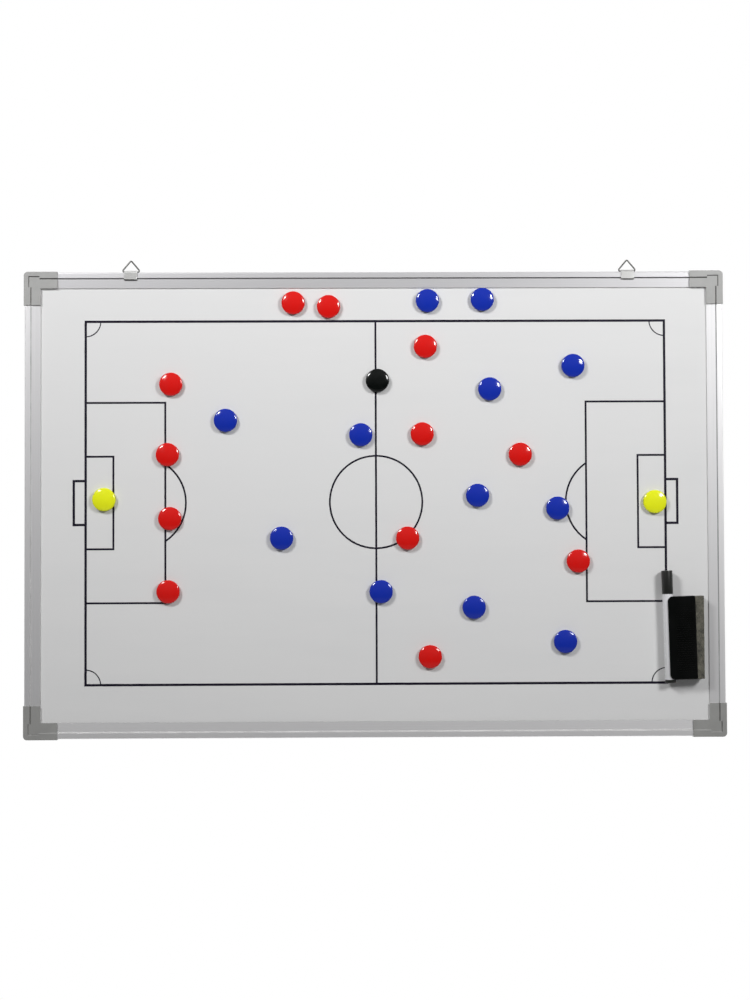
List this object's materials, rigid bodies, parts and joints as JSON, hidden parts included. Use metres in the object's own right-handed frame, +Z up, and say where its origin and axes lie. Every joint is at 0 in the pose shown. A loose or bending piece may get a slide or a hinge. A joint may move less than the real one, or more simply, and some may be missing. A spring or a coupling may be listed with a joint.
{
  "type": "tactics board",
  "caption": "Wall-hung magnetic dry-wipe board with a printed football pitch, framed in aluminium, with dome magnets, ring hangers, and an eraser that holds a marker pen.",
  "frame": {"origin": "behind the middle of the board, on the wall: the corner caps' backs lie at Y 0 and the back sheet 2.4 mm in front of them", "axes": "+X to the right along the pitch, +Y into the wall, +Z up; the writing face looks along -Y"},
  "size_m": [0.9, 0.0292, 0.615],
  "materials": {
    "face_lacquer": "glossy white dry-wipe lacquer",
    "pitch_ink": "flat dark ink print",
    "core_fibreboard": "raw fibreboard",
    "back_foil": "mill-finish foil",
    "rail_aluminium": "silver anodised, fine lengthwise brushing",
    "corner_plastic": "satin grey moulding",
    "hanger_steel": "zinc-plated",
    "magnet_red": "glossy moulding",
    "magnet_blue": "glossy moulding",
    "magnet_yellow": "glossy moulding",
    "magnet_black": "glossy moulding",
    "eraser_plastic": "satin ribbed moulding",
    "eraser_felt": "pressed felt",
    "ferrite": "ground ferrite",
    "pen_white": "glossy tube",
    "pen_dark": "semi-gloss moulding",
    "pen_grey": "satin moulding",
    "pen_fibre": "ink-soaked fibre"
  },
  "bodies": {
    "board": {"steel_sheet": "face_lacquer", "core_board": "core_fibreboard", "back_sheet": "back_foil", "pitch_print": "pitch_ink", "rail_top": "rail_aluminium", "rail_bottom": "rail_aluminium", "rail_left": "rail_aluminium", "rail_right": "rail_aluminium", "corner_top_left": "corner_plastic", "corner_top_right": "corner_plastic", "corner_bottom_left": "corner_plastic", "corner_bottom_right": "corner_plastic"},
    "left_clip": {"hanger_clip_left": "hanger_steel"},
    "left_ring": {"hanger_ring_left": "hanger_steel"},
    "right_clip": {"hanger_clip_right": "hanger_steel"},
    "right_ring": {"hanger_ring_right": "hanger_steel"},
    "eraser": {"eraser_body": "eraser_plastic", "eraser_felt": "eraser_felt", "eraser_magnets": "ferrite"},
    "pen": {"pen_barrel": "pen_white", "pen_end_plug": "pen_dark", "pen_nib_holder": "pen_grey", "pen_nib": "pen_fibre", "pen_ink_reservoir": "pen_fibre"},
    "cap": {"pen_cap": "pen_dark"},
    "red_magnet_01": {"red_magnet_01": "magnet_red"},
    "red_magnet_02": {"red_magnet_02": "magnet_red"},
    "red_magnet_03": {"red_magnet_03": "magnet_red"},
    "red_magnet_04": {"red_magnet_04": "magnet_red"},
    "red_magnet_05": {"red_magnet_05": "magnet_red"},
    "red_magnet_06": {"red_magnet_06": "magnet_red"},
    "red_magnet_07": {"red_magnet_07": "magnet_red"},
    "red_magnet_08": {"red_magnet_08": "magnet_red"},
    "red_magnet_09": {"red_magnet_09": "magnet_red"},
    "red_magnet_10": {"red_magnet_10": "magnet_red"},
    "red_magnet_11": {"red_magnet_11": "magnet_red"},
    "red_magnet_12": {"red_magnet_12": "magnet_red"},
    "blue_magnet_01": {"blue_magnet_01": "magnet_blue"},
    "blue_magnet_02": {"blue_magnet_02": "magnet_blue"},
    "blue_magnet_03": {"blue_magnet_03": "magnet_blue"},
    "blue_magnet_04": {"blue_magnet_04": "magnet_blue"},
    "blue_magnet_05": {"blue_magnet_05": "magnet_blue"},
    "blue_magnet_06": {"blue_magnet_06": "magnet_blue"},
    "blue_magnet_07": {"blue_magnet_07": "magnet_blue"},
    "blue_magnet_08": {"blue_magnet_08": "magnet_blue"},
    "blue_magnet_09": {"blue_magnet_09": "magnet_blue"},
    "blue_magnet_10": {"blue_magnet_10": "magnet_blue"},
    "blue_magnet_11": {"blue_magnet_11": "magnet_blue"},
    "blue_magnet_12": {"blue_magnet_12": "magnet_blue"},
    "yellow_magnet_1": {"yellow_magnet_1": "magnet_yellow"},
    "yellow_magnet_2": {"yellow_magnet_2": "magnet_yellow"},
    "black_magnet": {"black_magnet": "magnet_black"}
  },
  "joints": [
    {"name": "left_clip_slide", "type": "slide", "parent": "board", "child": "left_clip", "axis": [1, 0, 0], "range_m": [-0.081, 0.3]},
    {"name": "left_ring_swing", "type": "hinge", "parent": "left_clip", "child": "left_ring", "pos_m": [-0.313, -0.00735, 0.3001], "axis": [1, 0, 0], "range_deg": [-75, 75]},
    {"name": "right_clip_slide", "type": "slide", "parent": "board", "child": "right_clip", "axis": [1, 0, 0], "range_m": [-0.314, 0.067]},
    {"name": "right_ring_swing", "type": "hinge", "parent": "right_clip", "child": "right_ring", "pos_m": [0.327, -0.00735, 0.3001], "axis": [1, 0, 0], "range_deg": [-75, 75]},
    {"name": "eraser_lift", "type": "slide", "parent": "board", "child": "eraser", "axis": [0, -1, 0], "range_m": [0, 0.08]},
    {"name": "pen_unclip", "type": "slide", "parent": "eraser", "child": "pen", "axis": [-0.9997, 0, -0.0262], "range_m": [0, 0.06]},
    {"name": "pen_cap_pull", "type": "slide", "parent": "pen", "child": "cap", "axis": [-0.0262, 0, 0.9997], "range_m": [0, 0.045]},
    {"name": "red_magnet_01_slide", "type": "slide", "parent": "board", "child": "red_magnet_01", "axis": [1, 0, 0], "range_m": [-0.478, 0.172]},
    {"name": "red_magnet_02_slide", "type": "slide", "parent": "board", "child": "red_magnet_02", "axis": [1, 0, 0], "range_m": [-0.151, 0.234]},
    {"name": "red_magnet_03_slide", "type": "slide", "parent": "board", "child": "red_magnet_03", "axis": [1, 0, 0], "range_m": [-0.048, 0.11]},
    {"name": "red_magnet_04_slide", "type": "slide", "parent": "board", "child": "red_magnet_04", "axis": [1, 0, 0], "range_m": [-0.146, 0.23]},
    {"name": "red_magnet_05_slide", "type": "slide", "parent": "board", "child": "red_magnet_05", "axis": [1, 0, 0], "range_m": [-0.11, 0.225]},
    {"name": "red_magnet_06_slide", "type": "slide", "parent": "board", "child": "red_magnet_06", "axis": [1, 0, 0], "range_m": [-0.066, 0.126]},
    {"name": "red_magnet_07_slide", "type": "slide", "parent": "board", "child": "red_magnet_07", "axis": [1, 0, 0], "range_m": [-0.131, 0.215]},
    {"name": "red_magnet_08_slide", "type": "slide", "parent": "board", "child": "red_magnet_08", "axis": [1, 0, 0], "range_m": [-0.215, 0.089]},
    {"name": "red_magnet_09_slide", "type": "slide", "parent": "board", "child": "red_magnet_09", "axis": [1, 0, 0], "range_m": [-0.147, 0.242]},
    {"name": "red_magnet_10_slide", "type": "slide", "parent": "board", "child": "red_magnet_10", "axis": [1, 0, 0], "range_m": [-0.482, 0.149]},
    {"name": "red_magnet_11_slide", "type": "slide", "parent": "board", "child": "red_magnet_11", "axis": [1, 0, 0], "range_m": [-0.308, 0.015]},
    {"name": "red_magnet_12_slide", "type": "slide", "parent": "board", "child": "red_magnet_12", "axis": [1, 0, 0], "range_m": [-0.015, 0.097]},
    {"name": "blue_magnet_01_slide", "type": "slide", "parent": "board", "child": "blue_magnet_01", "axis": [1, 0, 0], "range_m": [-0.1, 0.157]},
    {"name": "blue_magnet_02_slide", "type": "slide", "parent": "board", "child": "blue_magnet_02", "axis": [1, 0, 0], "range_m": [-0.116, 0.1]},
    {"name": "blue_magnet_03_slide", "type": "slide", "parent": "board", "child": "blue_magnet_03", "axis": [1, 0, 0], "range_m": [-0.221, 0.149]},
    {"name": "blue_magnet_04_slide", "type": "slide", "parent": "board", "child": "blue_magnet_04", "axis": [1, 0, 0], "range_m": [-0.149, 0.048]},
    {"name": "blue_magnet_05_slide", "type": "slide", "parent": "board", "child": "blue_magnet_05", "axis": [1, 0, 0], "range_m": [-0.383, 0.077]},
    {"name": "blue_magnet_06_slide", "type": "slide", "parent": "board", "child": "blue_magnet_06", "axis": [1, 0, 0], "range_m": [-0.077, 0.095]},
    {"name": "blue_magnet_07_slide", "type": "slide", "parent": "board", "child": "blue_magnet_07", "axis": [1, 0, 0], "range_m": [-0.126, 0.131]},
    {"name": "blue_magnet_08_slide", "type": "slide", "parent": "board", "child": "blue_magnet_08", "axis": [1, 0, 0], "range_m": [-0.242, 0.096]},
    {"name": "blue_magnet_09_slide", "type": "slide", "parent": "board", "child": "blue_magnet_09", "axis": [1, 0, 0], "range_m": [-0.096, 0.223]},
    {"name": "blue_magnet_10_slide", "type": "slide", "parent": "board", "child": "blue_magnet_10", "axis": [1, 0, 0], "range_m": [-0.149, 0.106]},
    {"name": "blue_magnet_11_slide", "type": "slide", "parent": "board", "child": "blue_magnet_11", "axis": [1, 0, 0], "range_m": [-0.097, 0.04]},
    {"name": "blue_magnet_12_slide", "type": "slide", "parent": "board", "child": "blue_magnet_12", "axis": [1, 0, 0], "range_m": [-0.04, 0.273]},
    {"name": "yellow_magnet_1_slide", "type": "slide", "parent": "board", "child": "yellow_magnet_1", "axis": [1, 0, 0], "range_m": [-0.065, 0.066]},
    {"name": "yellow_magnet_2_slide", "type": "slide", "parent": "board", "child": "yellow_magnet_2", "axis": [1, 0, 0], "range_m": [-0.095, 0.053]},
    {"name": "black_magnet_slide", "type": "slide", "parent": "board", "child": "black_magnet", "axis": [1, 0, 0], "range_m": [-0.234, 0.116]}
  ]
}
